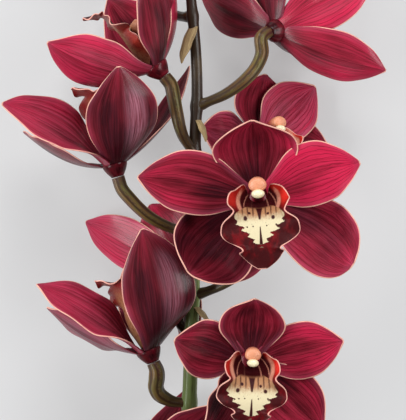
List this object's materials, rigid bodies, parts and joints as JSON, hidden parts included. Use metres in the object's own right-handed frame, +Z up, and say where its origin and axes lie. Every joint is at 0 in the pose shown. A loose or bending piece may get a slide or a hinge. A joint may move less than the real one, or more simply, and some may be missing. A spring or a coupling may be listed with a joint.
{
  "type": "cut cymbidium orchid stem",
  "caption": "Cut stem of dark red cymbidium orchid with open blooms, closed buds, stalks and papery bracts, lying on a surface.",
  "frame": {"origin": "centre of the bounding box's underside, on the surface that the stem lies on", "axes": "+Y along the stem from the cut end to the last bud, +Z up from the surface, +X to the right of the spike"},
  "size_m": [0.1924, 0.4497, 0.1047],
  "materials": {
    "tepal_skin": "satin",
    "lip_skin": "satin",
    "column_skin": "satin",
    "pedicel_skin": "satin",
    "bud_skin": "satin",
    "stem_skin": "satin"
  },
  "bodies": {
    "root": {"bloom_01_tepals": "tepal_skin", "bloom_01_lip": "lip_skin", "bloom_01_column": "column_skin", "bloom_02_tepals": "tepal_skin", "bloom_02_lip": "lip_skin", "bloom_02_column": "column_skin", "bloom_03_tepals": "tepal_skin", "bloom_03_lip": "lip_skin", "bloom_03_column": "column_skin", "bloom_04_tepals": "tepal_skin", "bloom_04_lip": "lip_skin", "bloom_04_column": "column_skin", "bloom_05_tepals": "tepal_skin", "bloom_05_lip": "lip_skin", "bloom_05_column": "column_skin", "bloom_06_tepals": "tepal_skin", "bloom_06_lip": "lip_skin", "bloom_06_column": "column_skin", "bloom_07_tepals": "tepal_skin", "bloom_07_lip": "lip_skin", "bloom_07_column": "column_skin", "bloom_08_tepals": "tepal_skin", "bloom_08_lip": "lip_skin", "bloom_08_column": "column_skin", "bloom_09_tepals": "tepal_skin", "bloom_09_lip": "lip_skin", "bloom_09_column": "column_skin", "bloom_10_tepals": "tepal_skin", "bloom_10_lip": "lip_skin", "bloom_10_column": "column_skin", "pedicel_01": "pedicel_skin", "pedicel_02": "pedicel_skin", "pedicel_03": "pedicel_skin", "pedicel_04": "pedicel_skin", "pedicel_05": "pedicel_skin", "pedicel_06": "pedicel_skin", "pedicel_07": "pedicel_skin", "pedicel_08": "pedicel_skin", "pedicel_09": "pedicel_skin", "pedicel_10": "pedicel_skin", "pedicel_11": "pedicel_skin", "bud_11": "bud_skin", "bud_12": "bud_skin", "stem": "stem_skin"}
  },
  "joints": []
}
